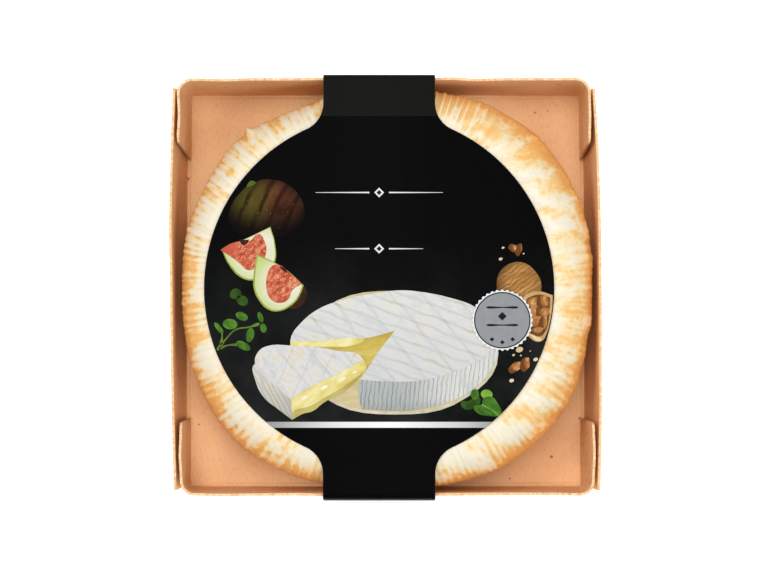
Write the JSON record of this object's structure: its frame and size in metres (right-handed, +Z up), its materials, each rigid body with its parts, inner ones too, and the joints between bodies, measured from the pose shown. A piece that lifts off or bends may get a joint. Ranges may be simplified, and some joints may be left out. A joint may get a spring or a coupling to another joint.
{
  "type": "packaged cheese wheel",
  "caption": "Soft cheese wheel wrapped in clear film, set in an open square tray of folded kraft board and held by a black card label sleeve with a round medallion.",
  "frame": {"origin": "bottom centre of the pack, on the underside of the label sleeve", "axes": "+Z up through the label medallion, +X to the right and +Y to the back, as the label's picture is read"},
  "size_m": [0.0888, 0.088, 0.029],
  "materials": {
    "kraft_board": "matt uncoated kraft board",
    "cheese_rind": "soft bloomy rind, cream to golden",
    "clear_film": "clear wrinkled film, glossy",
    "black_card": "black satin printed card",
    "glue": "amber hot-melt glue"
  },
  "bodies": {
    "root": {"tray": "kraft_board", "cheese_wheel": "cheese_rind", "wrapping_film": "clear_film", "label_sleeve": "black_card", "glue_spot_front_left": "glue", "glue_spot_front_right": "glue", "glue_spot_back_left": "glue", "glue_spot_back_right": "glue"}
  },
  "joints": []
}
